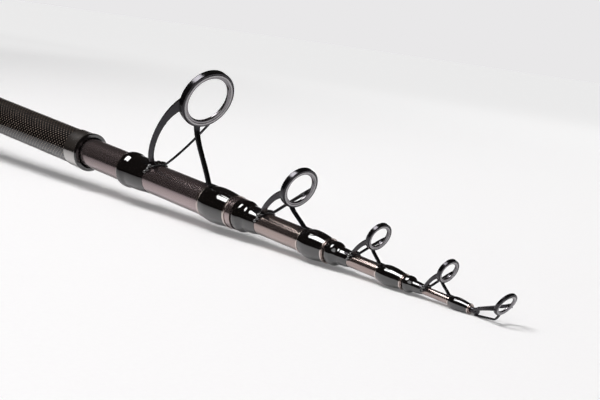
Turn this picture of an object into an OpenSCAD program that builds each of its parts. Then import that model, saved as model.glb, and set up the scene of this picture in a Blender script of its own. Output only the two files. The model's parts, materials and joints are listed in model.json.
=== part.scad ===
// Telescopic fishing rod, collapsed, with its guides up.
// +X runs along the rod from the butt cap to the tip, +Z is the side of the guides and the reel.
// The origin is on the rod's axis, at the flat end of the butt cap.

/* [Butt section] */
// Length from the end of the cap to the mouth
butt_len = 560; // [500:5:680]
// Outer diameter at the mouth
butt_mouth_d = 21.4; // [20:0.1:26]
// How much wider the handle end is than the mouth
butt_taper = 1.0; // [0.8:0.1:3]
// Wall at the mouth
butt_wall = 1.1; // [0.8:0.05:1.6]
// Length of the polished ring behind the mouth rim
mouth_ring_len = 11.5; // [4:0.5:30]
// Thickness of the polished ring
mouth_ring_t = 0.5; // [0.3:0.1:1.5]
// Length of the black rim at the mouth
rim_len = 2.5; // [1.5:0.1:8]
// Thickness of the black rim
rim_t = 0.8; // [0.4:0.1:2]

/* [Sliding sections] */
// Length that shows past the mouth behind it when collapsed, sections two to five
show = [142, 68.5, 50.5, 39.5]; // [36:0.5:180]
// Drop in outer diameter from base to mouth, sections two to five
taper = [1.9, 2.9, 2.9, 1.3]; // [0.8:0.1:4]
// Wall, sections two to five
wall = [1.0, 0.9, 0.75, 0.7]; // [0.4:0.05:1.2]
// Drop in diameter of the solid tip section from base to point
tip_taper = 0.7; // [0.5:0.1:1.2]
// Length of the swelled base that jams in the mouth
swell_len = 36; // [20:1:60]
// Length of the narrowed mouth
lip_len = 14; // [8:1:30]
// How much the mouth is narrowed, on the radius
lip = 0.3; // [0.2:0.05:0.35]
// Length of the ramps between narrow and wide stretches
ramp = 3; // [2:0.5:6]
// How far each base lies ahead of the one around it
base_step = 6; // [3:1:15]

/* [Collars and whippings] */
// Bare tube between the butt mouth and the first stop collar
collar_off = 40; // [2:1:60]
// Length of each stop collar
collar_len = [8, 8.5, 8, 6]; // [3:0.5:12]
// How much wider each stop collar is than the mouth that it stops at, on the radius
collar_over = [0.8, 0.95, 0.9, 1.2]; // [0.5:0.05:1.6]
// Cover of the rear whipping over a guide's foot
wrap_cover = 0.35; // [0.2:0.05:0.8]
// Cover of each front whipping over a guide's foot
front_cover = [0.35, 0.6, 0.65, 0.45]; // [0.2:0.05:1.2]
// Bare strip from the front whipping to the mouth
mouth_strip = [5.7, 1.6, 1.4, 1.2]; // [0.8:0.1:8]
// Length of a bright trim ring
trim_len = [1.5, 1.2, 0.9, 0.7]; // [0.5:0.1:2]
// Thickness of a bright trim ring
trim_t = 0.4; // [0.2:0.05:0.6]

/* [Guides] */
// Outer diameter of each ring frame
ring_d = [33, 21.6, 14.2, 11.9]; // [10:0.1:40]
// Height of each ring's centre over the rod's axis
ring_h = [53.3, 24.6, 15.7, 12.4]; // [11:0.1:70]
// Distance from the mouth back to each ring's centre
ring_back = [38.5, 27.5, 20.5, 16]; // [14:0.5:48]
// Distance from each ring's centre back to its rear foot
guide_back = [36, 21, 13.5, 10.5]; // [8:0.5:46]
// Distance from each ring's centre forward to its front foot
guide_fwd = [9, 7, 2.5, 2.5]; // [2:0.5:12]
// Lean of each ring towards the tip, in degrees
lean = [18, 16, 17, 18]; // [5:1:35]
// Depth of each ring frame along the line
hoop_depth = [4.2, 3.3, 2.5, 2.2]; // [1.6:0.1:6]
// Sheet thickness of each guide frame
sheet = [1.3, 1.1, 0.85, 0.75]; // [0.5:0.05:1.6]
// Width of each guide leg
leg_w = [3.3, 2.8, 2.1, 1.8]; // [1:0.05:4]
// How far the rear legs swing out, as a share of the ring's radius
leg_swing = [1.3, 1.0, 0.88, 0.88]; // [0.8:0.05:1.8]
// How far the rear legs arch over the straight line from ring to foot
leg_bow = [2.1, 0.6, 0.2, 0.2]; // [0:0.1:4]
// Where the rear legs leave the ring, in degrees below its middle
leg_attach = [4, 16, 22, 22]; // [0:1:30]
// How far each rear leg stands to the side on its foot
foot_gap = [3.2, 2.8, 1.9, 1.3]; // [0.8:0.1:4]
// Length of the feet under the whippings
foot_len = [12, 8, 6, 5]; // [4:0.5:14]
// Thickness of the feet
foot_t = [0.9, 0.8, 0.6, 0.5]; // [0.4:0.05:1.2]
// Radial thickness of each ring insert
insert_w = [2.5, 1.8, 1.25, 1.1]; // [0.8:0.05:3.5]

/* [Tip top] */
// Length of the ferrule on the tip
ferrule_len = 3.5; // [3:0.5:10]
// Wall of the ferrule
ferrule_wall = 0.5; // [0.4:0.05:1.2]
// Outer diameter of the ring frame
tip_ring_d = 11.9; // [9:0.1:16]
// Distance from the ferrule's front end to the ring's centre
tip_ring_fwd = 14; // [11:0.5:20]
// Height of the ring's centre over the rod's axis
tip_ring_h = 7.9; // [7:0.1:14]
// Lean of the ring towards the tip, in degrees
tip_lean = 26; // [5:1:40]
// How far the lower leg drops under the rod's axis
tip_keel = 0.3; // [0:0.1:4]
// Where the side legs leave the ring, in degrees below its middle
tip_attach = 15; // [0:1:40]
// Width of the legs
tip_leg_w = 1.4; // [0.8:0.1:2.5]
// Sheet thickness of the frame
tip_sheet = 0.8; // [0.5:0.05:1.2]
// Depth of the ring frame along the line
tip_hoop_depth = 1.6; // [1.2:0.1:3]
// Radial thickness of the ring insert
tip_insert_w = 1.15; // [0.8:0.05:2]

/* [Handle] */
// Outer diameter of the rear grip
grip_d = 28; // [26:0.5:36]
// Length of the rear grip
grip_len = 176; // [100:2:220]
// Outer diameter of the fore grip
fore_d = 26.6; // [25:0.2:32]
// Length of the fore grip
fore_len = 74; // [40:2:120]
// Length of a winding-check ring
check_len = 4; // [2:0.5:8]

/* [Reel seat] */
// Length of the seat body
seat_len = 124; // [110:1:160]
// Thickness of the seat body over the butt tube
seat_t = 1.8; // [1.4:0.1:3]
// Length of each hood
hood_len = 22; // [18:0.5:30]
// Depth of the pocket in each hood
pocket_len = 14; // [8:0.5:16]
// Clear length between the closed hoods
saddle_len = 44; // [30:1:60]
// Height of the pockets over the seat at their mouth
pocket_h = 6.6; // [6:0.1:8]
// Wall of the hoods
hood_wall = 1.4; // [1:0.1:2]
// Thickness of the hoods' rings round the seat
hood_ring_t = 1.1; // [0.8:0.1:2]
// Width of the flat foot under each hood, which keeps the rod from rolling
hood_foot_w = 11; // [6:0.5:14]
// Length of the lock nut
nut_len = 14; // [8:0.5:18]
// Thickness of the lock nut round the seat
nut_t = 1.4; // [1.2:0.1:3]
// Number of finger grooves round the lock nut
nut_grooves = 16; // [8:1:24]
// Width of the key that keeps the sliding hood from turning
key_w = 3; // [2:0.5:5]

/* [Butt cap] */
// Length of the cap's flange with its end button
cap_len = 12; // [8:0.5:20]
// Length of the threaded plug inside the tube
plug_len = 12; // [8:0.5:20]
// Diameter of the rubber end button
button_d = 22; // [16:0.5:24]
// Thickness of the bumper pad
pad_t = 3; // [2:0.5:6]

/* [Clearances] */
// Radial gap between sliding tubes where they jam
slide_gap = 0.12; // [0.08:0.02:0.2]
// Gap between pieces that rest against each other
rest_gap = 0.2; // [0.1:0.05:0.4]
// Glue line between pieces that are fixed together
glue = 0.04; // [0.02:0.01:0.08]
// Radial gap of the plug, hood and nut on what they run on
run_gap = 0.2; // [0.1:0.05:0.3]

/* [Hidden] */
$fn = 64;
SECTIONS = [1, 2, 3, 4];
TIP = 5;
SECTION_PARTS = ["tube", "stop_collar", "rear_whipping", "front_whipping",
                 "trim_rings", "guide_frame", "guide_ring"];
function section_node(k, part) = str("s", k + 1, "_", part);

// Tube k slides in tube k - 1: 0 is the butt, 1 to 4 are sections two to five, 5 is the tip
function mouth_x(k) = k == 0 ? butt_len : mouth_x(k - 1) + show[k - 1];
function wall_of(k) = k == 0 ? butt_wall : wall[k - 1];
function taper_of(k) = k == 0 ? butt_taper : k == TIP ? tip_taper : taper[k - 1];
function outer_r(k) = k == 0 ? butt_mouth_d / 2 : neck_r(k) - taper_of(k) / 2;
function bore_r(k) = outer_r(k) - wall_of(k);
function neck_r(k) = bore_r(k - 1) - slide_gap;
function swell_r(k) = bore_r(k - 1) + lip - slide_gap;
function base_x(k) = pad_face + rest_gap + (k - 1) * base_step;
function neck_x(k) = base_x(k) + swell_len + ramp;
function end_x(k) = k == TIP ? ferrule_x + ferrule_len - rest_gap : mouth_x(k);
// Outer radius of a sliding tube at a place along the rod
function tube_r(k, x) = outer_r(k) + (neck_r(k) - outer_r(k)) * (end_x(k) - x) / (end_x(k) - neck_x(k));
// How far a section slides out until its swelled base meets the narrowed mouth
function travel(k) = mouth_x(k - 1) - lip_len - ramp - rest_gap - base_x(k) - swell_len;

// Places along the butt, from the cap forwards
pad_face = cap_len + plug_len + pad_t;
handle_r = outer_r(0) + butt_taper / 2;
handle_bore_r = handle_r - butt_wall;
grip_x = cap_len + rest_gap;
grip_check_x = grip_x + grip_len;
seat_x = grip_check_x + check_len;
seat_check_x = seat_x + seat_len;
fore_x = seat_check_x + check_len;
fore_check_x = fore_x + fore_len;
handle_end = fore_check_x + check_len;

// Reel seat
seat_r = handle_r + glue + seat_t;
hood_x = seat_x + hood_len + saddle_len;
nut_x = hood_x + hood_len + rest_gap;
key_h = seat_t / 2;
check_t = (grip_d / 2 - handle_r) * 0.55;
// Each pocket is round, and wide enough that its sides meet the seat well below the reel foot
pocket_r = seat_r - 1.6;
pocket_z = seat_r + pocket_h - pocket_r;
hood_slope = 0.07;
// The feet under the hoods reach a little lower than the nut
hood_foot_z = seat_r + run_gap + nut_t + 0.4;

// Tip top
ferrule_x = mouth_x(4) + rest_gap;

// A list of radius and place turned round the rod's axis
module revolve(points) {
    rotate([0, 90, 0])
        rotate_extrude()
            polygon(points);
}

// Plain ring round the rod with small chamfers on its outer edges
module band(x, len, r_in, r_out) {
    chamfer = min(len, r_out - r_in) / 4;
    revolve([[r_in, x], [r_out - chamfer, x], [r_out, x + chamfer],
             [r_out, x + len - chamfer], [r_out - chamfer, x + len], [r_in, x + len]]);
}

// Solid cylinder along the rod
module rod_solid(x, len, r) {
    translate([x, 0, 0])
        rotate([0, 90, 0])
            cylinder(h = len, r = r);
}

// Swept strips
function unit(v) = v / norm(v);
function mix(a, b, t) = a + (b - a) * t;
function bezier(p, t) =
    pow(1 - t, 3) * p[0] + 3 * t * pow(1 - t, 2) * p[1] + 3 * t * t * (1 - t) * p[2] + t * t * t * p[3];
function bezier_way(p, t) =
    unit(pow(1 - t, 2) * (p[1] - p[0]) + 2 * t * (1 - t) * (p[2] - p[1]) + t * t * (p[3] - p[2]));

// Half outline of a strip with rounded edges, as shares of its width and thickness
STRIP_EDGE = [[1, 0.4], [0.8, 1], [-0.8, 1], [-1, 0.4], [-1, -0.4], [-0.8, -1], [0.8, -1], [1, -0.4]];
STRIP_STEPS = 14;

// Strip along a curve of four control points, with its broad side facing `face`. Its start
// is wider by `flare` on its outer side and by `web` on its inner side.
module strip(p, face, width, thick, flare = 1, web = 0) {
    sides = len(STRIP_EDGE);
    inner = web > 0 ? web : flare;
    points = [for (i = [0:STRIP_STEPS])
        let (t = i / STRIP_STEPS,
             way = bezier_way(p, t),
             out = unit(face - (face * way) * way),
             side = cross(way, out),
             half_t = thick / 2)
        for (e = STRIP_EDGE)
            let (wide = e[0] * side[1] * p[0][1] < 0 ? inner : flare,
                 half_w = width / 2 * mix(1, wide, pow(1 - t, 6)))
            bezier(p, t) + side * e[0] * half_w + out * e[1] * half_t];
    walls = [for (i = [0:STRIP_STEPS - 1]) for (j = [0:sides - 1])
        let (a = i * sides + j, b = i * sides + (j + 1) % sides)
        each [[a, b, b + sides], [a, b + sides, a + sides]]];
    start = [[for (j = [sides - 1:-1:0]) j]];
    end = [[for (j = [0:sides - 1]) STRIP_STEPS * sides + j]];
    polyhedron(points, concat(walls, start, end));
}

// Butt section
module butt_tube() {
    color("#2b2623")
        revolve([
            [handle_bore_r, cap_len + rest_gap],
            [handle_r, cap_len + rest_gap],
            [handle_r, handle_end],
            [outer_r(0), butt_len],
            [bore_r(0), butt_len],
            [bore_r(0), butt_len - lip_len],
            [bore_r(0) + lip, butt_len - lip_len - ramp],
            [handle_bore_r, handle_end]]);
}

// Outer radius of the butt at a place ahead of the handle
function butt_r(x) = handle_r + (outer_r(0) - handle_r) * (x - handle_end) / (butt_len - handle_end);

module mouth_ring() {
    x = butt_len - rim_len - mouth_ring_len;
    r = butt_r(x) + glue;
    color("#e4e4e6")
        band(x, mouth_ring_len, r, r + mouth_ring_t);
}

module mouth_rim() {
    x = butt_len - rim_len;
    r = butt_r(x) + glue;
    color("#161616")
        revolve([[r, x], [r + rim_t * 0.7, x], [r + rim_t, x + rim_len * 0.3],
                 [r + rim_t, x + rim_len * 0.7], [r + rim_t * 0.5, butt_len], [r, butt_len]]);
}

// Foam sleeve with rounded ends, from radius r0 at its rear to r1 at its front
module sleeve(x, len, r0, r1) {
    r_in = handle_r + glue;
    round = 0.7 * (min(r0, r1) - r_in);
    rear = [for (a = [0:15:90]) [r0 - round * (1 - sin(a)), x + round * (1 - cos(a))]];
    front = [for (a = [0:15:90]) [r1 - round * (1 - cos(a)), x + len - round * (1 - sin(a))]];
    revolve(concat([[r_in, x]], rear, front, [[r_in, x + len]]));
}

module rear_grip() {
    color("#232323")
        sleeve(grip_x, grip_len, grip_d / 2, grip_d / 2);
}

module fore_grip() {
    color("#232323")
        sleeve(fore_x, fore_len, fore_d / 2, handle_r + check_t + 0.6);
}

module winding_check(x) {
    color("#c9c9cc")
        band(x, check_len, handle_r + glue, handle_r + glue + check_t);
}

module reel_seat_body() {
    color("#1b1b1d")
        difference() {
            rod_solid(seat_x, seat_len, seat_r);
            rod_solid(seat_x - 1, seat_len + 2, handle_r + glue);
            // Keyway under the seat, where the sliding hood's key runs
            translate([seat_x + hood_len + saddle_len / 2, -key_w / 2, -seat_r - 1])
                cube([seat_len, key_w, key_h + 1]);
        }
}

// Hood with its mouth at x = 0 and its closed end at hood_len, round the rod's axis
module hood_shell(r_in) {
    roof_r = pocket_r + hood_wall;
    nose = 4;
    difference() {
        union() {
            band(0, hood_len, r_in, seat_r + hood_ring_t);
            translate([0, -hood_foot_w / 2, -hood_foot_z])
                cube([hood_len, hood_foot_w, hood_foot_z]);
            translate([0, 0, pocket_z])
                revolve([[0, 0], [roof_r, 0], [roof_r - hood_slope * (hood_len - nose), hood_len - nose],
                         [roof_r - hood_slope * hood_len - nose * 0.6, hood_len], [0, hood_len]]);
        }
        rod_solid(-1, hood_len + 2, r_in);
        translate([0, 0, pocket_z])
            revolve([[0, -1], [pocket_r + hood_slope, -1],
                     [pocket_r - hood_slope * pocket_len, pocket_len], [0, pocket_len]]);
    }
}

module fixed_hood() {
    color("#3a3a3d")
        translate([seat_x + hood_len, 0, 0])
            mirror([1, 0, 0])
                hood_shell(seat_r + glue);
}

module sliding_hood() {
    color("#3a3a3d")
        translate([hood_x, 0, 0]) {
            hood_shell(seat_r + run_gap);
            // Key that runs in the seat's keyway
            difference() {
                translate([0, -key_w / 2 + run_gap, -seat_r - run_gap - hood_ring_t / 2])
                    cube([hood_len, key_w - 2 * run_gap, key_h + hood_ring_t / 2]);
                rod_solid(-1, hood_len + 2, seat_r - key_h + run_gap);
            }
        }
}

module lock_nut() {
    r_out = seat_r + run_gap + nut_t;
    groove_r = 1.6;
    color("#5a5a5e")
        difference() {
            band(nut_x, nut_len, seat_r + run_gap, r_out);
            for (i = [0:nut_grooves - 1])
                rotate([i * 360 / nut_grooves, 0, 0])
                    translate([0, 0, r_out + groove_r - nut_t / 3])
                        rod_solid(nut_x - 1, nut_len - 2, groove_r);
        }
}

// Butt cap
plug_r = handle_bore_r - run_gap;
cap_r = grip_d / 2 - 0.5;
stud_r = plug_r * 0.4;
stud_len = plug_len / 2;
button_seat = cap_len * 0.45;

module bumper_pad() {
    color("#3b3b3b")
        revolve([[0, pad_face - pad_t - stud_len], [stud_r, pad_face - pad_t - stud_len],
                 [stud_r, pad_face - pad_t + glue], [plug_r, pad_face - pad_t + glue],
                 [plug_r, pad_face], [0, pad_face]]);
}

module butt_plug() {
    rim = button_d / 2 + glue;
    round = 1.5;
    lip_x = round;
    color("#4a4a4d")
        revolve([[0, button_seat], [rim, button_seat], [rim, lip_x], [cap_r - round, lip_x],
                 [cap_r, lip_x + round], [cap_r, cap_len], [plug_r, cap_len],
                 [plug_r, pad_face - pad_t], [stud_r + run_gap, pad_face - pad_t],
                 [stud_r + run_gap, pad_face - pad_t - stud_len - run_gap],
                 [0, pad_face - pad_t - stud_len - run_gap]]);
}

module end_button() {
    r = button_d / 2;
    round = 1.5;
    color("#202020")
        revolve([[0, 0], [r - round, 0], [r, round], [r, button_seat - glue], [0, button_seat - glue]]);
}

// Sliding sections
SECTION_BROWN = "#5b4a42";
function collar_x(k) = mouth_x(k - 1) + (k == 1 ? collar_off : rest_gap);
function collar_end(k) = collar_x(k) + collar_len[k - 1];
function ring_x(k) = mouth_x(k) - ring_back[k - 1];
function rear_foot_x(k) = ring_x(k) - guide_back[k - 1];
function front_foot_x(k) = ring_x(k) + guide_fwd[k - 1];
// The whippings stop short of the legs by the legs' own width
function rear_wrap_end(k) = rear_foot_x(k) - leg_w[k - 1];
function front_trim_x(k) = front_foot_x(k) + leg_w[k - 1] / 2;
function front_wrap_x(k) = front_trim_x(k) + trim_len[k - 1];
function front_wrap_end(k) = mouth_x(k) - mouth_strip[k - 1];
function seat_on(k, x) = tube_r(k, x) + glue;

module section_tube(k) {
    bore_back = neck_r(k) - wall_of(k);
    color(SECTION_BROWN)
        revolve([
            [bore_back, base_x(k)],
            [swell_r(k), base_x(k)],
            [swell_r(k), base_x(k) + swell_len],
            [neck_r(k), neck_x(k)],
            [outer_r(k), mouth_x(k)],
            [bore_r(k), mouth_x(k)],
            [bore_r(k), mouth_x(k) - lip_len],
            [bore_r(k) + lip, mouth_x(k) - lip_len - ramp]]);
}

// Bulb-shaped collar: its rear face rests against the mouth behind it, and its front
// necks down to the whipping
module section_stop_collar(k) {
    x = collar_x(k);
    len = collar_len[k - 1];
    r = seat_on(k, x);
    heel = bore_r(k - 1) + collar_over[k - 1] * 0.4;
    crest = bore_r(k - 1) + collar_over[k - 1];
    neck = r + wrap_crest(k) * 0.8;
    // Rises as a quarter wave to its crest, keeps its width, then falls as a half wave
    rise = [for (u = [0:0.25:1]) [heel + (crest - heel) * sin(90 * u), x + 0.3 * len * u]];
    fall = [for (u = [0:0.125:1]) [mix(neck, crest, 0.5 + cos(180 * u) / 2), x + len * (0.45 + 0.55 * u)]];
    color("#0d0d0d")
        revolve(concat([[r, x]], rise, fall, [[r, x + len]]));
}

// Barrel of whipping: swells from r + t0 to r + t1 at a share `crest` of its length, and thins to t2
module barrel(x, len, r, t0, t1, t2, crest) {
    steps = 12;
    outline = [for (i = [0:steps])
        let (u = i / steps,
             rise = u < crest ? sin(90 * u / crest) : cos(90 * (u - crest) / (1 - crest)),
             low = u < crest ? t0 : t2)
        [r + low + (t1 - low) * rise, x + len * u]];
    revolve(concat([[r, x]], outline, [[r, x + len]]));
}

// Thickness of the rear whipping where it covers the foot
function wrap_crest(k) = foot_t[k - 1] + wrap_cover;
module section_rear_whipping(k) {
    x = collar_end(k) + glue;
    len = rear_wrap_end(k) - x;
    color("#0d0d0d")
        difference() {
            barrel(x, len, seat_on(k, x), wrap_crest(k) * 0.8, wrap_crest(k), 0.15, 0.3);
            rear_foot(k);
        }
}

module section_front_whipping(k) {
    x = front_wrap_x(k);
    crest_t = foot_t[k - 1] + front_cover[k - 1];
    color("#0d0d0d")
        difference() {
            barrel(x, front_wrap_end(k) - x, seat_on(k, x), trim_t, crest_t, trim_t / 2, 0.35);
            front_foot(k);
        }
}

module section_trim_rings(k) {
    len = trim_len[k - 1];
    color("#d8d4d0")
        difference() {
            // Only the first collar stands clear of the mouth behind it, so only it has a ring there
            for (x = concat(k == 1 ? [collar_x(k) - len] : [], [front_trim_x(k), front_wrap_end(k)]))
                band(x, min(len, mouth_strip[k - 1] * 0.6), seat_on(k, x), seat_on(k, x) + trim_t);
            front_foot(k);
        }
}

// Feet of a guide: a saddle at the rear and a flat tongue in front, on top of the tube and
// under the whippings
function foot_w(k) = leg_w[k - 1];
module rear_foot(k) {
    x = rear_foot_x(k);
    r = tube_r(k, x - foot_len[k - 1]) + foot_t[k - 1];
    half = min(foot_gap[k - 1] + leg_w[k - 1] / 2, r * 0.85);
    intersection() {
        rod_solid(x - foot_len[k - 1], foot_len[k - 1] + leg_w[k - 1] / 2, r);
        translate([x - foot_len[k - 1], -half, 0])
            cube([foot_len[k - 1] + leg_w[k - 1] / 2, 2 * half, 2 * r]);
    }
}
module front_foot(k) {
    x = front_foot_x(k);
    translate([x - leg_w[k - 1] / 2, -foot_w(k) / 2, tube_r(k, x) - foot_t[k - 1]])
        cube([foot_len[k - 1] + leg_w[k - 1] / 2, foot_w(k), foot_t[k - 1] * 2 + glue]);
}

// Ring frame that leans towards the tip, with the seat for its insert; most of its depth
// lies behind the insert, where the legs join it
HOOP_FRONT = 0.34;
LEG_SET = 0.42;
module hoop(d, depth, t) {
    edge = t / 3;
    front = depth * HOOP_FRONT;
    back = front - depth;
    rotate_extrude()
        polygon([[d / 2 - t, back], [d / 2 - edge, back], [d / 2, back + edge],
                 [d / 2, front - edge], [d / 2 - edge, front], [d / 2 - t, front]]);
}

// Polished insert: a round ring cut off where it sits in the frame
module insert(d, t, w) {
    seat = d / 2 - t - glue;
    section_r = w * 0.62;
    intersection() {
        rotate_extrude()
            translate([seat - w + section_r, 0])
                circle(section_r);
        cylinder(h = 4 * section_r, r = seat, center = true);
    }
}

module on_ring(centre, tilt) {
    translate(centre)
        rotate([0, 90 + tilt, 0])
            children();
}

// Up along a leaning ring
function ring_up(tilt) = [sin(tilt), 0, cos(tilt)];
// Ahead through a leaning ring
function ring_ahead(tilt) = [cos(tilt), 0, -sin(tilt)];
// How far the rear legs' broad sides turn from square to the sides towards the front
LEG_TURN = 50;
// How much wider the rear legs start on their inner sides, as a web to the ring
LEG_WEB = 4;

module guide_rear_leg(k, side) {
    i = k - 1;
    centre = [ring_x(k), 0, ring_h[i]] - LEG_SET * hoop_depth[i] * ring_ahead(lean[i]);
    reach = ring_d[i] / 2 - leg_w[i] / 2;
    top = centre + reach * (cos(leg_attach[i]) * [0, side, 0] - sin(leg_attach[i]) * ring_up(lean[i]));
    foot_r = tube_r(k, rear_foot_x(k)) + foot_t[i] / 2;
    stand = min(foot_gap[i], foot_r * 0.7);
    foot = [rear_foot_x(k), side * stand, sqrt(foot_r * foot_r - stand * stand)];
    middle = [foot[0], 0, foot[2]];
    down = unit(middle - centre);
    arch = leg_bow[i] * [down[2], 0, -down[0]];
    spread = [0, side * ring_d[i] / 2 * leg_swing[i], 0];
    face = cos(LEG_TURN) * [0, side, 0] - sin(LEG_TURN) * [down[2], 0, -down[0]];
    // The legs swing out past the ring, then close round to the foot like the end of a loop
    strip([top, mix(centre, middle, 0.3) + arch + spread,
           mix(centre, middle, 0.93) + arch + 0.55 * spread, foot],
          face, leg_w[i], sheet[i], 1, LEG_WEB);
}

module guide_front_leg(k) {
    i = k - 1;
    centre = [ring_x(k), 0, ring_h[i]] - LEG_SET * hoop_depth[i] * ring_ahead(lean[i]);
    top = centre - (ring_d[i] / 2 - sheet[i] / 2) * ring_up(lean[i]);
    foot = [front_foot_x(k), 0, tube_r(k, front_foot_x(k)) + foot_t[i] / 2];
    drop = top[2] - foot[2];
    run = foot[0] - top[0];
    strip([top, top - [0, 0, 0.3 * drop], foot + [-0.4 * run, 0, 0.4 * drop], foot],
          [1, 0, 0], leg_w[i], sheet[i], 1.4);
}

module section_guide_frame(k) {
    i = k - 1;
    centre = [ring_x(k), 0, ring_h[i]];
    root_x = rear_foot_x(k) - foot_len[i] - 2;
    color("#3d3d40")
        difference() {
            union() {
                on_ring(centre, lean[i])
                    hoop(ring_d[i], hoop_depth[i], sheet[i]);
                for (side = [-1, 1])
                    guide_rear_leg(k, side);
                guide_front_leg(k);
                rear_foot(k);
                front_foot(k);
            }
            on_ring(centre, lean[i])
                cylinder(h = 4 * hoop_depth[i], r = ring_d[i] / 2 - sheet[i], center = true);
            translate([root_x, 0, 0])
                rotate([0, 90, 0])
                    cylinder(h = mouth_x(k) - root_x, r1 = seat_on(k, root_x), r2 = seat_on(k, mouth_x(k)));
        }
}

module section_guide_ring(k) {
    i = k - 1;
    color("#6a6a70")
        on_ring([ring_x(k), 0, ring_h[i]], lean[i])
            insert(ring_d[i], sheet[i], insert_w[i]);
}

// Tip section
module tip_blank() {
    color(SECTION_BROWN)
        revolve([[0, base_x(TIP)], [swell_r(TIP), base_x(TIP)], [swell_r(TIP), base_x(TIP) + swell_len],
                 [neck_r(TIP), neck_x(TIP)], [outer_r(TIP), end_x(TIP)], [0, end_x(TIP)]]);
}

function ferrule_r() = tube_r(TIP, ferrule_x) + glue + ferrule_wall;

module tip_ferrule() {
    color("#3d3d40")
        difference() {
            rod_solid(ferrule_x, ferrule_len, ferrule_r());
            rod_solid(ferrule_x - 1, ferrule_len + 1 - rest_gap, tube_r(TIP, ferrule_x) + glue);
        }
}

tip_centre = [ferrule_x + ferrule_len + tip_ring_fwd, 0, tip_ring_h];

module tip_frame() {
    root = [ferrule_x + ferrule_len * 0.6, 0, 0];
    reach = tip_ring_d / 2 - tip_sheet / 2;
    heel = ferrule_r() + tip_sheet / 2;
    bottom = tip_centre - reach * ring_up(tip_lean);
    keel = [mix(ferrule_x + ferrule_len, tip_centre[0], 0.66), 0, -tip_keel];
    heel_end = root - [0, 0, heel];
    color("#3d3d40")
        difference() {
            union() {
                on_ring(tip_centre, tip_lean)
                    hoop(tip_ring_d, tip_hoop_depth, tip_sheet);
                for (side = [-1, 1]) {
                    start = root + heel * [0, side * 0.8, 0.6];
                    stop = tip_centre
                        + reach * (cos(tip_attach) * [0, side, 0] - sin(tip_attach) * ring_up(tip_lean));
                    strip([stop, mix(stop, start, 0.4) + [0, side * 0.5, 0],
                           mix(stop, start, 0.7), start],
                          [0, side, 0.3], tip_leg_w, tip_sheet, 1.6);
                }
                // The lower leg runs straight to its keel, then turns up to the ring
                strip([keel, mix(keel, heel_end, 0.3), mix(keel, heel_end, 0.7), heel_end],
                      [0, 0, -1], tip_leg_w, tip_sheet);
                strip([bottom, mix(bottom, keel, 0.4) + [0.4, 0, -0.4], keel + [0.8, 0, 0.2], keel],
                      [1, 0, -1], tip_leg_w, tip_sheet, 1.4);
            }
            on_ring(tip_centre, tip_lean)
                cylinder(h = 4 * tip_hoop_depth, r = tip_ring_d / 2 - tip_sheet, center = true);
            rod_solid(ferrule_x - 1, ferrule_len + 1 + glue, ferrule_r() + glue);
        }
}

module tip_ring() {
    color("#6a6a70")
        on_ring(tip_centre, tip_lean)
            insert(tip_ring_d, tip_sheet, tip_insert_w);
}

butt_tube();
mouth_ring();
mouth_rim();
rear_grip();
winding_check(grip_check_x);  // rear_grip_check
reel_seat_body();
fixed_hood();
winding_check(seat_check_x);  // seat_check
fore_grip();
winding_check(fore_check_x);  // fore_grip_check
sliding_hood();
lock_nut();
bumper_pad();
butt_plug();
end_button();
for (k = SECTIONS) {
    section_tube(k);
    section_stop_collar(k);
    section_rear_whipping(k);
    section_front_whipping(k);
    section_trim_rings(k);
    section_guide_frame(k);
    section_guide_ring(k);
}
tip_blank();
tip_ferrule();
tip_frame();
tip_ring();
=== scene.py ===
"""Looks for the collapsed telescopic rod: lacquered tubes, epoxy whippings, coated guides, on white paper."""
import json
import math

import bmesh
import bpy
import numpy as np
from mathutils import Matrix, Vector

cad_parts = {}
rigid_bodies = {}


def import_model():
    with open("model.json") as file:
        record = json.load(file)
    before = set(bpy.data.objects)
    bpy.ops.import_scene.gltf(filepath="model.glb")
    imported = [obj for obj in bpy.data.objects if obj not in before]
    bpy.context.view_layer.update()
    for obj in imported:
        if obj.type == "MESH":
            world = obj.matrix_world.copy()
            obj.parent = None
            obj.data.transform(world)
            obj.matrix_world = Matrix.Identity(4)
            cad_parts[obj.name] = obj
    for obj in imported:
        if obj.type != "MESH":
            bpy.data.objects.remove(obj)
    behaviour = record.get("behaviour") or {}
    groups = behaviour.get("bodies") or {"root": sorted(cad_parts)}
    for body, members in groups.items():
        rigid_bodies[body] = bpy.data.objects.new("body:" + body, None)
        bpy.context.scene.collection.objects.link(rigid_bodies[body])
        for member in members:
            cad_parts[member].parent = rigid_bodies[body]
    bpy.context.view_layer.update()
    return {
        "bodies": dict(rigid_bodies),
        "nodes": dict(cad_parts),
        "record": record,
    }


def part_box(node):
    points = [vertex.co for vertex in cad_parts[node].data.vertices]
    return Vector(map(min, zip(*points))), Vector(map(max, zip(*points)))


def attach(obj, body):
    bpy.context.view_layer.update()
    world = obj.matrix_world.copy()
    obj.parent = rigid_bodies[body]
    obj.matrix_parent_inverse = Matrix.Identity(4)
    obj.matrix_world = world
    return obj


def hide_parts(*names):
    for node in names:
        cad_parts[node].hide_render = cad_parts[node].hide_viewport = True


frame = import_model()
MM = 0.001
NODES = frame["nodes"]
SECTIONS = ["s2", "s3", "s4", "s5"]
BUTT_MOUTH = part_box("butt_tube")[1][0]
S2_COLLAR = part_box("s2_stop_collar")[0][0]
S2_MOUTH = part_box("s2_tube")[1][0]


# Materials, with their patterns in millimetres; Map Range is fed its value, the range coming in and the range going out

def srgb(code):
    """Linear colour of an sRGB hex code."""
    parts = [int(code[i:i + 2], 16) / 255 for i in (1, 3, 5)]
    return [p / 12.92 if p <= 0.04045 else ((p + 0.055) / 1.055) ** 2.4 for p in parts] + [1.0]


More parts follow.
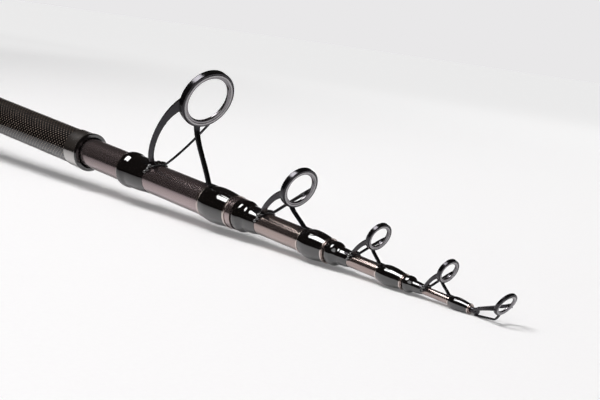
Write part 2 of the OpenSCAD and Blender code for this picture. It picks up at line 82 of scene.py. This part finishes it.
def add(tree, kind, *fed, **named):
    """Adds a node and gives its first output in use.

    Lower-case names are the node's settings. Its inputs are fed in order or by name, with a value or a socket.
    """
    node = tree.nodes.new(kind)
    for name, value in named.items():
        if name.islower():
            setattr(node, name, value)
    feeds = list(zip([socket for socket in node.inputs if socket.enabled], fed))
    feeds += [(node.inputs[name.replace("_", " ")], value) for name, value in named.items() if not name.islower()]
    for socket, value in feeds:
        if isinstance(value, bpy.types.NodeSocket):
            tree.links.new(value, socket)
        else:
            socket.default_value = value
    return next((socket for socket in node.outputs if socket.enabled), None)


def new_finish(name):
    """A new material, its empty tree, and the place on a piece in millimetres."""
    mat = bpy.data.materials.new(name)
    mat.use_nodes = True
    tree = mat.node_tree
    tree.nodes.clear()
    place = add(tree, "ShaderNodeTexCoord").node.outputs["Object"]
    return mat, tree, add(tree, "ShaderNodeVectorMath", place, Scale=1 / MM, operation="SCALE")


def around(tree, spot):
    """Place along the rod in millimetres and angle round it in radians."""
    axes = add(tree, "ShaderNodeSeparateXYZ", spot).node.outputs
    return axes[0], add(tree, "ShaderNodeMath", axes[1], axes[2], operation="ARCTAN2")


def carbon_weave():
    """Clear-coated woven carbon: brown tows show as rows of dots on black, up to a plain black lip."""
    mat, tree, spot = new_finish("clear-coated woven carbon")
    x, angle = around(tree, spot)
    tow_pitch, tows_round, grain_width = 3.0, 26.0, 0.5
    lip, fade = BUTT_MOUTH / MM - 1.0, 0.5
    along = add(tree, "ShaderNodeMath", x, 2 * math.pi / tow_pitch, operation="MULTIPLY")
    across = add(tree, "ShaderNodeMath", angle, tows_round, operation="MULTIPLY")
    weave = add(tree, "ShaderNodeMath", add(tree, "ShaderNodeMath", along, operation="SINE"),
                add(tree, "ShaderNodeMath", across, operation="SINE"), operation="MULTIPLY")
    tow = add(tree, "ShaderNodeMapRange", weave, 0.45, 1.0, interpolation_type="SMOOTHSTEP")
    woven = add(tree, "ShaderNodeMapRange", x, lip, lip + fade, 1.0, 0.0, interpolation_type="SMOOTHSTEP")
    tow = add(tree, "ShaderNodeMath", tow, woven, operation="MULTIPLY")
    grain = add(tree, "ShaderNodeTexNoise", spot, Scale=1 / grain_width, Detail=3.0)
    brown = add(tree, "ShaderNodeMix", grain, srgb("#6b5d55"), srgb("#a08f82"), data_type="RGBA")
    base = add(tree, "ShaderNodeMix", tow, srgb("#080606"), brown, data_type="RGBA")
    relief = add(tree, "ShaderNodeBump", Height=tow, Distance=0.05 * MM, Strength=0.3)
    skin = add(tree, "ShaderNodeBsdfPrincipled", Base_Color=base, Roughness=0.3, Specular_IOR_Level=0.2,
               Coat_Weight=1.0, Coat_IOR=1.9, Coat_Roughness=0.03, Normal=relief)
    add(tree, "ShaderNodeOutputMaterial", Surface=skin)
    return mat


def bronze_lacquer():
    """Dark bronze lacquer over tape that shows as fine slanting lines, with warm flake from the third section on."""
    mat, tree, spot = new_finish("dark bronze lacquer")
    x, angle = around(tree, spot)
    tape_pitch, tapes_round, flake_width = 1.1, 22.0, 0.25
    third = S2_MOUTH / MM
    along = add(tree, "ShaderNodeMath", x, 2 * math.pi / tape_pitch, operation="MULTIPLY")
    slant = add(tree, "ShaderNodeMath", angle, tapes_round, along, operation="MULTIPLY_ADD")
    tape = add(tree, "ShaderNodeMath", slant, operation="SINE")
    flake = add(tree, "ShaderNodeTexNoise", spot, Scale=1 / flake_width, Detail=3.0)
    lines = add(tree, "ShaderNodeMapRange", tape, -1.0, 1.0, interpolation_type="SMOOTHSTEP")
    plain = add(tree, "ShaderNodeMix", lines, srgb("#a09294"), srgb("#b0a09f"), data_type="RGBA")
    flaked = add(tree, "ShaderNodeMix", flake, plain, srgb("#9f9187"), data_type="RGBA")
    warm = add(tree, "ShaderNodeMapRange", x, third - 7.0, third + 8.0, interpolation_type="SMOOTHSTEP")
    base = add(tree, "ShaderNodeMix", warm, plain, flaked, data_type="RGBA")
    rough = add(tree, "ShaderNodeMapRange", flake, 0.3, 0.7, 0.13, 0.18, interpolation_type="SMOOTHSTEP")
    relief = add(tree, "ShaderNodeBump", Height=tape, Distance=0.012 * MM, Strength=0.5)
    skin = add(tree, "ShaderNodeBsdfPrincipled", Base_Color=base, Metallic=0.95, Roughness=rough, Normal=relief)
    add(tree, "ShaderNodeOutputMaterial", Surface=skin)
    return mat


def black_epoxy():
    """Thick glossy epoxy over black thread: smooth, with slow waves from its own flow.

    Its IOR is above that of plain epoxy, to match the strong gloss of the whippings.
    """
    mat, tree, spot = new_finish("black epoxy over thread")
    flow_width, speck_width = 7.0, 0.3
    flow = add(tree, "ShaderNodeTexNoise", spot, Scale=1 / flow_width, Detail=1.0)
    specks = add(tree, "ShaderNodeTexNoise", spot, Scale=1 / speck_width, Detail=2.0)
    base = add(tree, "ShaderNodeMix", specks, srgb("#030202"), srgb("#080606"), data_type="RGBA")
    relief = add(tree, "ShaderNodeBump", Height=flow, Distance=0.12 * MM, Strength=0.08)
    skin = add(tree, "ShaderNodeBsdfPrincipled", Base_Color=base, Roughness=0.035, IOR=2.0, Normal=relief)
    add(tree, "ShaderNodeOutputMaterial", Surface=skin)
    return mat


def bright_trim():
    """Polished bright metal with fine turning marks, a shade duller on the thin rings of the sections."""
    mat, tree, spot = new_finish("polished trim metal")
    mark_width, past_mouth = 0.4, 10.0
    x = add(tree, "ShaderNodeSeparateXYZ", spot).node.outputs["X"]
    turned = add(tree, "ShaderNodeMapping", spot, Scale=(1.0, 0.03, 0.03))
    marks = add(tree, "ShaderNodeTexNoise", turned, Scale=1 / mark_width, Detail=2.0)
    bright = add(tree, "ShaderNodeMix", marks, srgb("#d9d5d2"), srgb("#f1efed"), data_type="RGBA")
    thin = add(tree, "ShaderNodeMapRange", x, BUTT_MOUTH / MM + past_mouth, S2_COLLAR / MM,
               interpolation_type="SMOOTHSTEP")
    base = add(tree, "ShaderNodeMix", thin, bright, srgb("#c3b8b3"), data_type="RGBA")
    rough = add(tree, "ShaderNodeMapRange", marks, 0.3, 0.7, 0.08, 0.2, interpolation_type="SMOOTHSTEP")
    skin = add(tree, "ShaderNodeBsdfPrincipled", Base_Color=base, Metallic=1.0, Roughness=rough)
    add(tree, "ShaderNodeOutputMaterial", Surface=skin)
    return mat


def coated_frame():
    """Dark grey vapour coating on pressed steel, a little uneven."""
    mat, tree, spot = new_finish("dark grey coated steel")
    cloud_width, grain_width = 4.0, 0.2
    cloud = add(tree, "ShaderNodeTexNoise", spot, Scale=1 / cloud_width, Detail=3.0)
    grain = add(tree, "ShaderNodeTexNoise", spot, Scale=1 / grain_width, Detail=2.0)
    base = add(tree, "ShaderNodeMix", cloud, srgb("#343336"), srgb("#454346"), data_type="RGBA")
    rough = add(tree, "ShaderNodeMapRange", grain, 0.3, 0.7, 0.13, 0.2, interpolation_type="SMOOTHSTEP")
    relief = add(tree, "ShaderNodeBump", Height=grain, Distance=0.01 * MM, Strength=0.3)
    skin = add(tree, "ShaderNodeBsdfPrincipled", Base_Color=base, Metallic=0.95, Roughness=rough, Normal=relief)
    add(tree, "ShaderNodeOutputMaterial", Surface=skin)
    return mat


def ceramic_ring():
    """Polished grey ceramic with the sheen of metal."""
    mat, tree, spot = new_finish("polished grey ceramic")
    grain_width = 0.3
    grain = add(tree, "ShaderNodeTexNoise", spot, Scale=1 / grain_width, Detail=2.0)
    base = add(tree, "ShaderNodeMix", grain, srgb("#969395"), srgb("#a8a6a8"), data_type="RGBA")
    rough = add(tree, "ShaderNodeMapRange", grain, 0.3, 0.7, 0.14, 0.22, interpolation_type="SMOOTHSTEP")
    skin = add(tree, "ShaderNodeBsdfPrincipled", Base_Color=base, Metallic=0.85, Roughness=rough)
    add(tree, "ShaderNodeOutputMaterial", Surface=skin)
    return mat


def foam_grip():
    """Dense black foam with small closed cells."""
    mat, tree, spot = new_finish("dense black foam")
    cell_width, cloud_width = 0.6, 9.0
    cells = add(tree, "ShaderNodeTexVoronoi", spot, Scale=1 / cell_width)
    cloud = add(tree, "ShaderNodeTexNoise", spot, Scale=1 / cloud_width, Detail=3.0)
    base = add(tree, "ShaderNodeMix", cloud, srgb("#1b1b1c"), srgb("#272727"), data_type="RGBA")
    relief = add(tree, "ShaderNodeBump", Height=cells, Distance=0.12 * MM, Strength=0.6)
    skin = add(tree, "ShaderNodeBsdfPrincipled", Base_Color=base, Roughness=0.85, Normal=relief)
    add(tree, "ShaderNodeOutputMaterial", Surface=skin)
    return mat


def satin_metal(name, dark, light):
    """Anodised aluminium with turning marks round the rod."""
    mat, tree, spot = new_finish(name)
    mark_width = 0.35
    turned = add(tree, "ShaderNodeMapping", spot, Scale=(1.0, 0.02, 0.02))
    marks = add(tree, "ShaderNodeTexNoise", turned, Scale=1 / mark_width, Detail=2.0)
    base = add(tree, "ShaderNodeMix", marks, srgb(dark), srgb(light), data_type="RGBA")
    rough = add(tree, "ShaderNodeMapRange", marks, 0.3, 0.7, 0.28, 0.42, interpolation_type="SMOOTHSTEP")
    relief = add(tree, "ShaderNodeBump", Height=marks, Distance=0.01 * MM, Strength=0.5)
    skin = add(tree, "ShaderNodeBsdfPrincipled", Base_Color=base, Metallic=1.0, Roughness=rough, Normal=relief)
    add(tree, "ShaderNodeOutputMaterial", Surface=skin)
    return mat


def moulded(name, dark, light, roughness, metallic=0.0):
    """Moulded or coated surface with a fine even grain."""
    mat, tree, spot = new_finish(name)
    grain_width = 0.4
    grain = add(tree, "ShaderNodeTexNoise", spot, Scale=1 / grain_width, Detail=2.0)
    base = add(tree, "ShaderNodeMix", grain, srgb(dark), srgb(light), data_type="RGBA")
    rough = add(tree, "ShaderNodeMapRange", grain, 0.3, 0.7, roughness, 1.3 * roughness,
                interpolation_type="SMOOTHSTEP")
    relief = add(tree, "ShaderNodeBump", Height=grain, Distance=0.02 * MM, Strength=0.4 * roughness)
    skin = add(tree, "ShaderNodeBsdfPrincipled", Base_Color=base, Metallic=metallic, Roughness=rough, Normal=relief)
    add(tree, "ShaderNodeOutputMaterial", Surface=skin)
    return mat


MATERIALS = {
    "carbon_weave": carbon_weave(),
    "bronze_lacquer": bronze_lacquer(),
    "black_epoxy": black_epoxy(),
    "bright_trim": bright_trim(),
    "guide_frame": coated_frame(),
    "guide_ring": ceramic_ring(),
    "foam_grip": foam_grip(),
    "satin_check": satin_metal("satin anodised rings", "#a9a9ac", "#cfcfd2"),
    "seat_plastic": moulded("black moulded plastic", "#131314", "#1c1c1e", 0.22),
    "hood_metal": moulded("dark coated hoods", "#2a2a2c", "#38383b", 0.26, 0.7),
    "satin_nut": satin_metal("dark anodised aluminium", "#48484b", "#626266"),
    "soft_rubber": moulded("black rubber", "#161616", "#202020", 0.55),
}
POLISHED_BORE = moulded("polished dark bore", "#7d7a7d", "#8d8a8d", 0.03, 0.95)
SLOTS = {entry["node"]: entry["material_slot"] for entry in frame["record"]["subparts"]}

for name, node in NODES.items():
    node.data.materials.clear()
    node.data.materials.append(MATERIALS[SLOTS[name]])


# Pieces that stand for CAD nodes, in the same places with smooth outlines and flowing joints

def piece(name, mesh, slot, body, *nodes):
    """Puts a mesh in the scene as a piece that moves with a body and stands for CAD nodes."""
    mesh.shade_smooth()
    if not mesh.materials:
        mesh.materials.append(MATERIALS[slot])
    done = bpy.data.objects.new(name, mesh)
    bpy.context.scene.collection.objects.link(done)
    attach(done, body)
    if nodes:
        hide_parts(*nodes)


def spun(name, outline, place=None, turns=144):
    """Mesh of a closed outline of (along, radius) points turned round the X axis, then put in place."""
    outline = np.array(outline)
    count = len(outline)
    turn = np.linspace(0, 2 * math.pi, turns, endpoint=False)[:, None]
    rings = np.stack([outline[:, 0] + 0 * turn, outline[:, 1] * np.sin(turn), outline[:, 1] * np.cos(turn)], 2)
    start = np.arange(turns)[:, None] * count
    after = (start + count) % (turns * count)
    here, there = np.arange(count)[None, :], (np.arange(count)[None, :] + 1) % count
    faces = np.stack([start + here, start + there, after + there, after + here], 2).reshape(-1, 4)
    mesh = bpy.data.meshes.new(name)
    mesh.from_pydata(rings.reshape(-1, 3).tolist(), [], faces.tolist())
    shape = bmesh.new()
    shape.from_mesh(mesh)
    bmesh.ops.recalc_face_normals(shape, faces=shape.faces)
    shape.to_mesh(mesh)
    shape.free()
    if place is not None:
        mesh.transform(place)
    return mesh


def sharpen(mesh, degrees=40):
    """Keeps edges sharp where faces meet at more than this angle."""
    mesh.shade_smooth()
    mesh.set_sharp_from_angle(angle=math.radians(degrees))
    return mesh


def turned_piece(name, outline, slot, body, *nodes):
    """A piece turned round the rod's axis from its outline."""
    piece(name, sharpen(spun(name, outline)), slot, body, *nodes)


def points(node):
    """Vertices of a CAD node as an array."""
    return np.array([v.co for v in NODES[node].data.vertices])


def mouth(node):
    """Outer radius and bore of a tube at its front end."""
    spots = points(node)
    front = spots[spots[:, 0] > spots[:, 0].max() - 0.05 * MM]
    radii = np.hypot(front[:, 1], front[:, 2])
    return radii.max(), radii.min()


def barrel(x0, x1, r, first, most, last, crest):
    """Outline of a whipping that swells from r + first to r + most at a share of its length, then thins."""
    outline = [(x0, r)]
    for u in np.linspace(0, 1, 48):
        rise = math.sin(math.pi / 2 * u / crest) if u < crest else math.cos(math.pi / 2 * (u - crest) / (1 - crest))
        low = first if u < crest else last
        outline.append((x0 + (x1 - x0) * u, r + low + (most - low) * rise))
    return outline + [(x1, r)]


def collar_outline(x0, x1, r, bore, crest, neck):
    """Outline of a bulb-shaped collar that necks down to the whipping in front of it."""
    crest_start = x0 + 0.3 * (x1 - x0)
    crest_end = x0 + 0.45 * (x1 - x0)
    heel = bore + 0.4 * (crest - bore)
    rise = [(x0 + (crest_start - x0) * u, heel + (crest - heel) * math.sin(math.pi / 2 * u))
            for u in np.linspace(0, 1, 20)]
    fall = [(crest_end + (x1 - crest_end) * u, neck + (crest - neck) * (0.5 + math.cos(math.pi * u) / 2))
            for u in np.linspace(0, 1, 36)]
    return [(x0, r)] + rise + fall + [(x1, r)]


def fused(name, sources, voxel, rounds):
    """One soft-edged skin over copies of several meshes, made in mm because the voxels are small."""
    work = bmesh.new()
    for mesh in sources:
        work.from_mesh(mesh)
    work.transform(Matrix.Scale(1 / MM, 4))
    bmesh.ops.remove_doubles(work, verts=work.verts, dist=0.001)
    mesh = bpy.data.meshes.new(name)
    work.to_mesh(mesh)
    work.free()
    rough = bpy.data.objects.new(name, mesh)
    bpy.context.scene.collection.objects.link(rough)
    skin = rough.modifiers.new("skin", "REMESH")
    skin.mode = "VOXEL"
    skin.voxel_size = voxel
    relax = rough.modifiers.new("relax", "SMOOTH")
    relax.factor = 0.5
    relax.iterations = rounds
    ready = bpy.data.meshes.new_from_object(rough.evaluated_get(bpy.context.evaluated_depsgraph_get()))
    bpy.data.objects.remove(rough)
    ready.transform(Matrix.Scale(MM, 4))
    ready.materials.clear()
    return ready


def bead(at, size):
    """Mesh of one round bead of epoxy."""
    shape = bmesh.new()
    bmesh.ops.create_icosphere(shape, subdivisions=3, radius=1.0,
                               matrix=Matrix.Translation(at) @ Matrix.Diagonal((*size, 1.0)))
    mesh = bpy.data.meshes.new("bead")
    shape.to_mesh(mesh)
    shape.free()
    return mesh


LEG_W = {"s2": 3.3 * MM, "s3": 2.8 * MM, "s4": 2.1 * MM, "s5": 1.8 * MM}
# Half the angle between the two rear feet, in radians
STANCE = {"s2": 0.36, "s3": 0.43, "s4": 0.48, "s5": 0.58}
# Voxels of the soft skins in mm, finer on the smaller guides
VOXEL = {"s2": 0.25, "s3": 0.19, "s4": 0.14, "s5": 0.12, "tip": 0.12}

# Beads of epoxy over the rear feet: place along in leg widths, place round in stances, and size in leg widths.
# They start this far past the whipping and stand this high on the tube, in leg widths too, a little wider than the feet
BEADS = [(-0.1, -1.0, 0.5), (0.3, -0.75, 0.36), (0.0, -0.45, 0.42), (0.35, -0.2, 0.32), (-0.15, 0.05, 0.45),
         (0.25, 0.3, 0.36), (0.0, 0.6, 0.42), (0.35, 0.8, 0.34), (-0.1, 1.0, 0.48), (-0.3, -1.5, 0.42),
         (-0.1, -2.0, 0.36), (-0.4, -2.5, 0.32)]
BEAD_START = 0.75
BEAD_HEIGHT = 0.28
BEAD_SPREAD = 1.15
BEAD_FORM = Vector((1.3, 1.2, 1.0))

for carrier, section in zip(["butt"] + SECTIONS, SECTIONS):
    tube_r = mouth(section + "_tube")[0]
    low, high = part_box(section + "_rear_whipping")
    wrap_end = high[0]
    wrap = 0.8 * (high[2] - tube_r)
    outline = barrel(low[0], high[0], tube_r, first=wrap, most=wrap, last=0.15 * MM, crest=0.1)
    turned_piece(section + "_rear_wrap", outline, "black_epoxy", section, section + "_rear_whipping")
    low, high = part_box(section + "_front_whipping")
    outline = barrel(low[0], high[0], tube_r, first=0.4 * MM, most=high[2] - tube_r, last=0.2 * MM, crest=0.35)
    turned_piece(section + "_front_wrap", outline, "black_epoxy", section, section + "_front_whipping")
    low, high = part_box(section + "_stop_collar")
    stop_bore = mouth(carrier + "_tube")[1]
    outline = collar_outline(low[0], high[0], tube_r, stop_bore, crest=high[2], neck=tube_r + wrap)
    turned_piece(section + "_collar", outline, "black_epoxy", section, section + "_stop_collar")

    if section == "s2":
        # A thin bright line lies on the first points of the collar's rise
        heel = outline[1:7]
        line = [(x, r - 0.3 * MM) for x, r in heel] + [(x, r + 0.06 * MM) for x, r in reversed(heel)]
        turned_piece("s2_heel_line", line, "bright_trim", section)

    width = LEG_W[section]
    bead_r = tube_r + BEAD_HEIGHT * width
    drops = []
    for along, aside, size in BEADS:
        turn = aside * STANCE[section] * BEAD_SPREAD
        at = (wrap_end + width * (BEAD_START + along), bead_r * math.sin(turn), bead_r * math.cos(turn))
        drops.append(bead(at, width * size * BEAD_FORM))
    beads = fused(section + "_epoxy_beads", drops, voxel=0.8 * VOXEL[section], rounds=3)
    piece(section + "_epoxy_beads", beads, "black_epoxy", section)

low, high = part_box("mouth_rim")
rim_x, rim_r = low[0], high[2]
line = [(rim_x - 0.1 * MM, rim_r - 0.5 * MM), (rim_x - 0.1 * MM, rim_r - 0.2 * MM),
        (rim_x + 0.3 * MM, rim_r + 0.02 * MM), (rim_x + 0.8 * MM, rim_r + 0.05 * MM),
        (rim_x + 0.8 * MM, rim_r - 0.5 * MM)]
turned_piece("mouth_edge_line", line, "bright_trim", "butt")

for body in SECTIONS + ["tip"]:
    node = "tip_frame" if body == "tip" else body + "_guide_frame"
    skin = fused(node + "_skin", [NODES[node].data], voxel=VOXEL[body], rounds=5)
    piece(node + "_skin", skin, "guide_frame", body, node)


def ring_insert(node, body):
    """Ring insert with a satin face, a groove and a polished bore, where the CAD ring sits."""
    spots = points(node)
    centre = spots.mean(0)
    axis = np.linalg.svd(spots - centre, full_matrices=False)[2][2]
    axis = axis if axis[0] > 0 else -axis
    along = (spots - centre) @ axis
    radii = np.linalg.norm(spots - centre - along[:, None] * axis, axis=1)
    inner, outer, half = radii.min(), radii.max(), along.max()
    wide = outer - inner
    side = Vector((0, 1, 0))
    ahead = Vector(axis)
    place = Matrix((ahead, side, ahead.cross(side))).transposed().to_4x4()
    place.translation = Vector(centre)
    # Shares of the ring's half thickness and of its width
    bore = [(half * 0.75 * math.cos(t), inner + wide * 0.42 * (1 - math.sin(t))) for t in np.linspace(0, math.pi, 25)]
    face = [(-half * 0.8, outer), (half * 0.86, outer), (half * 0.98, outer - wide * 0.06),
            (half * 0.98, outer - wide * 0.4), (half * 0.84, outer - wide * 0.46)]
    mesh = spun(node + "_polished", face + bore, place)
    mesh.materials.append(MATERIALS["guide_ring"])
    mesh.materials.append(POLISHED_BORE)
    count = len(face) + len(bore)
    strips = np.arange(len(mesh.polygons)) % count
    mesh.polygons.foreach_set("material_index", (strips >= len(face) - 1).astype(np.int32))
    piece(node + "_polished", sharpen(mesh, 30), "guide_ring", body, node)


for body in SECTIONS:
    ring_insert(body + "_guide_ring", body)
ring_insert("tip_ring", "tip")


# Thread that the lock nut runs on, swept along a spiral

def thread_tree():
    """Node tree of a round-crested thread along X, broken where the keyway runs below, with its sizes as inputs."""
    tree = bpy.data.node_groups.new("seat thread", "GeometryNodeTree")
    for label in ("Radius", "Length", "Turns", "Crest", "Gap"):
        tree.interface.new_socket(label, in_out="INPUT", socket_type="NodeSocketFloat")
    tree.interface.new_socket("Material", in_out="INPUT", socket_type="NodeSocketMaterial")
    tree.interface.new_socket("Geometry", in_out="OUTPUT", socket_type="NodeSocketGeometry")
    given = add(tree, "NodeGroupInput").node.outputs
    spiral = add(tree, "GeometryNodeCurveSpiral", Resolution=96, Rotations=given["Turns"],
                 Start_Radius=given["Radius"], End_Radius=given["Radius"], Height=given["Length"])
    wire = add(tree, "GeometryNodeCurveToMesh", Curve=spiral)
    turned = add(tree, "GeometryNodeTransform", Geometry=wire, Rotation=(0, math.pi / 2, 0))
    axes = add(tree, "ShaderNodeSeparateXYZ", add(tree, "GeometryNodeInputPosition")).node.outputs
    aside = add(tree, "ShaderNodeMath", axes[1], operation="ABSOLUTE")
    narrow = add(tree, "ShaderNodeMath", aside, given["Gap"], operation="LESS_THAN")
    below = add(tree, "ShaderNodeMath", axes[2], 0.0, operation="LESS_THAN")
    keyway = add(tree, "ShaderNodeMath", narrow, below, operation="MULTIPLY")
    broken = add(tree, "GeometryNodeDeleteGeometry", Geometry=turned, Selection=keyway, domain="EDGE")
    arcs = add(tree, "GeometryNodeMeshToCurve", Mesh=broken)
    crest = add(tree, "GeometryNodeCurvePrimitiveCircle", Resolution=8, Radius=given["Crest"])
    swept = add(tree, "GeometryNodeCurveToMesh", Curve=arcs, Profile_Curve=crest, Fill_Caps=True)
    real = add(tree, "GeometryNodeRealizeInstances", Geometry=swept)
    done = add(tree, "GeometryNodeSetMaterial", Geometry=real, Material=given["Material"])
    add(tree, "NodeGroupOutput", Geometry=done)
    return tree


def grown(name, tree, **values):
    """Mesh that a node tree makes from these named inputs."""
    carrier = bpy.data.objects.new(name, bpy.data.meshes.new(name))
    bpy.context.scene.collection.objects.link(carrier)
    grower = carrier.modifiers.new("grow", "NODES")
    grower.node_group = tree
    for item in tree.interface.items_tree:
        if item.in_out == "INPUT" and item.name in values:
            grower[item.identifier] = values[item.name]
    carrier.update_tag()
    mesh = bpy.data.meshes.new_from_object(carrier.evaluated_get(bpy.context.evaluated_depsgraph_get()))
    bpy.data.objects.remove(carrier)
    return mesh


THREAD_PITCH = 2.0 * MM
THREAD_LENGTH = 34.0 * MM
seat_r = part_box("reel_seat_body")[1][1]
nut_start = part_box("lock_nut")[0][0]
thread = grown("seat_thread", thread_tree(), Radius=float(seat_r) - 0.1 * MM, Turns=THREAD_LENGTH / THREAD_PITCH,
               Crest=0.25 * MM, Gap=2.6 * MM, Length=THREAD_LENGTH, Material=MATERIALS["seat_plastic"])
thread.transform(Matrix.Translation((nut_start + 0.5 * MM, 0, 0)))
piece("seat_thread", thread, "seat_plastic", "butt")


# Staging in metres: white paper that the tip rests on, two softboxes, a dark room around

# The rod lies turned this far about its axis with its tip down, so the paper, the lights and the camera are turned
TURN = Matrix.Rotation(math.radians(10), 3, "X")
# The paper's upright before that turn, from where the rod's shadow falls
PAPER_LEAN = Vector((-0.0686, 0.26, 1.0))
PAPER_REACH = 20.0
ROOM = (1.0, 0.86, 0.78, 1.0)

paper_up = (TURN @ PAPER_LEAN).normalized()
touch = min((v.co for v in NODES["tip_frame"].data.vertices), key=lambda spot: spot.dot(paper_up)).copy()
across = paper_up.cross(Vector((1, 0, 0))).normalized()
along = across.cross(paper_up)
paper_mesh = bpy.data.meshes.new("paper")
corners = [touch + PAPER_REACH * (a * along + b * across) for a, b in ((-1, -1), (-1, 1), (1, 1), (1, -1))]
paper_mesh.from_pydata([tuple(c) for c in corners], [], [(0, 1, 2, 3)])
if paper_mesh.polygons[0].normal.dot(paper_up) < 0:
    paper_mesh.flip_normals()
paper = bpy.data.objects.new("paper", paper_mesh)
bpy.context.scene.collection.objects.link(paper)
# The tip lies on the paper however far the rod is drawn out
paper.parent = frame["bodies"]["tip"]

mat, tree, spot = new_finish("matt white paper")
fibre_width = 2.0
fibres = add(tree, "ShaderNodeTexNoise", spot, Scale=1 / fibre_width, Detail=3.0)
white = add(tree, "ShaderNodeMix", fibres, srgb("#f0eeef"), srgb("#f4f3f3"), data_type="RGBA")
# The paper stays white to the eye and in gloss away from the softboxes, behind the rod and far off on every side
path = add(tree, "ShaderNodeLightPath").node.outputs
least_glow = 0.06
seen = add(tree, "ShaderNodeMath", path["Is Camera Ray"], path["Is Glossy Ray"], operation="MAXIMUM")
standing = add(tree, "ShaderNodeNewGeometry").node.outputs["Position"]
back = add(tree, "ShaderNodeVectorMath", standing, tuple(across - 0.2 * along), operation="DOT_PRODUCT")
away = add(tree, "ShaderNodeVectorMath", standing, tuple(touch), operation="DISTANCE")
back_glow = add(tree, "ShaderNodeMapRange", back, -0.4, 2.0, least_glow, 0.636, interpolation_type="SMOOTHSTEP")
far_glow = add(tree, "ShaderNodeMapRange", away, 0.9, 2.6, least_glow, 0.6, interpolation_type="SMOOTHSTEP")
glow = add(tree, "ShaderNodeMath", back_glow, far_glow, operation="MAXIMUM")
glow = add(tree, "ShaderNodeMath", glow, seen, operation="MULTIPLY")
sheet = add(tree, "ShaderNodeBsdfPrincipled", Base_Color=white, Roughness=0.9, Specular_IOR_Level=0.1,
            Emission_Color=srgb("#ffffff"), Emission_Strength=glow)
# Seen in gloss only, the paper is painted dark towards its left, just outside the picture, where the dark room would
# begin:
# a painted dark reflection for the glossy parts, while the paper goes on white to the eye; the dimming line is square
# to the inward direction
inward = 0.339 * along + 0.941 * across
edge = (touch.dot(inward) - 0.196) / MM
dim_width = 0.14 / MM
inside = add(tree, "ShaderNodeVectorMath", spot, tuple(inward), operation="DOT_PRODUCT")
beyond = add(tree, "ShaderNodeMath", inside, edge, operation="LESS_THAN")
painted_reflection_fade = add(tree, "ShaderNodeMapRange", inside, edge, edge + dim_width, 0.7, 0.0, interpolation_type="SMOOTHSTEP")
# Mask of the painted dark reflection: full past the line, fading out after it, for glossy rays only
painted_reflection_shade = add(tree, "ShaderNodeMath", beyond, painted_reflection_fade, operation="MAXIMUM")
painted_reflection_shade = add(tree, "ShaderNodeMath", painted_reflection_shade, path["Is Glossy Ray"], operation="MULTIPLY")
# Painted dark reflection: the room's colour that glossy rays meet in place of the paper there
dark = add(tree, "ShaderNodeEmission", Color=ROOM, Strength=0.015)
add(tree, "ShaderNodeOutputMaterial", Surface=add(tree, "ShaderNodeMixShader", painted_reflection_shade, sheet, dark))
paper_mesh.materials.append(mat)

world = bpy.data.worlds.new("studio")
world.use_nodes = True
bpy.context.scene.world = world
tree = world.node_tree
tree.nodes.clear()
path = add(tree, "ShaderNodeLightPath").node.outputs
room = add(tree, "ShaderNodeBackground", Color=ROOM, Strength=0.03)
fill = add(tree, "ShaderNodeBackground", Color=(1.0, 1.0, 1.0, 1.0), Strength=0.22)
white = add(tree, "ShaderNodeBackground", Color=srgb("#e9e8e9"), Strength=1.0)
# In gloss the white backdrop shows too, low down behind the rod, under the dark room
ray = add(tree, "ShaderNodeTexCoord").node.outputs["Generated"]
height = add(tree, "ShaderNodeVectorMath", ray, tuple(paper_up), operation="DOT_PRODUCT")
behind = add(tree, "ShaderNodeVectorMath", ray, tuple(across), operation="DOT_PRODUCT")
low_down = add(tree, "ShaderNodeMapRange", height, 0.1, 0.25, 1.0, 0.0, interpolation_type="SMOOTHSTEP")
far_side = add(tree, "ShaderNodeMapRange", behind, 0.0, 0.2, interpolation_type="SMOOTHSTEP")
backdrop = add(tree, "ShaderNodeMath", low_down, far_side, operation="MULTIPLY")
gloss = add(tree, "ShaderNodeMixShader", backdrop, room, white)
mirrored = add(tree, "ShaderNodeMixShader", path["Is Glossy Ray"], fill, gloss)
add(tree, "ShaderNodeOutputWorld", Surface=add(tree, "ShaderNodeMixShader", path["Is Camera Ray"], mirrored, white))


def softbox(name, at, aim, size, power, spread):
    """Rectangular area light with its first size along the rod, turned with the paper; spread in degrees."""
    light = bpy.data.lights.new(name, "AREA")
    light.shape = "RECTANGLE"
    light.size, light.size_y = size
    light.energy = power
    light.spread = math.radians(spread)
    lamp = bpy.data.objects.new(name, light)
    bpy.context.scene.collection.objects.link(lamp)
    back = (Vector(at) - Vector(aim)).normalized()
    side = Vector((0, 1, 0)).cross(back).normalized()
    facing = Matrix([TURN @ v for v in (side, back.cross(side), back)]).transposed()
    lamp.matrix_world = Matrix.Translation(TURN @ Vector(at)) @ facing.to_4x4()


GUIDES = (0.8, 0.0, 0.0)
softbox("overhead softbox", at=(-0.52, -0.42, 2.6), aim=GUIDES, size=(1.6, 1.4), power=16.5, spread=80)
softbox("front softbox", at=(1.6, -1.0, 1.3), aim=GUIDES, size=(1.2, 1.2), power=6.5, spread=180)

lens = bpy.data.cameras.new("camera")
lens.sensor_width = 36.0
lens.lens = 78.0
lens.clip_start = 0.01
lens.clip_end = 50.0
camera = bpy.data.objects.new("camera", lens)
bpy.context.scene.collection.objects.link(camera)
bpy.context.scene.camera = camera
stand = Vector((1.1983, -0.3954, 0.2364))
right = Vector((0.6611, 0.7503, -0.0044)).normalized()
ahead = Vector((-0.7068, 0.6208, -0.3391))
ahead = (ahead - ahead.dot(right) * right).normalized()
facing = Matrix([TURN @ v for v in (right, right.cross(ahead), -ahead)]).transposed()
camera.matrix_world = Matrix.Translation(TURN @ stand) @ facing.to_4x4()
bpy.context.scene.view_settings.view_transform = "Standard"
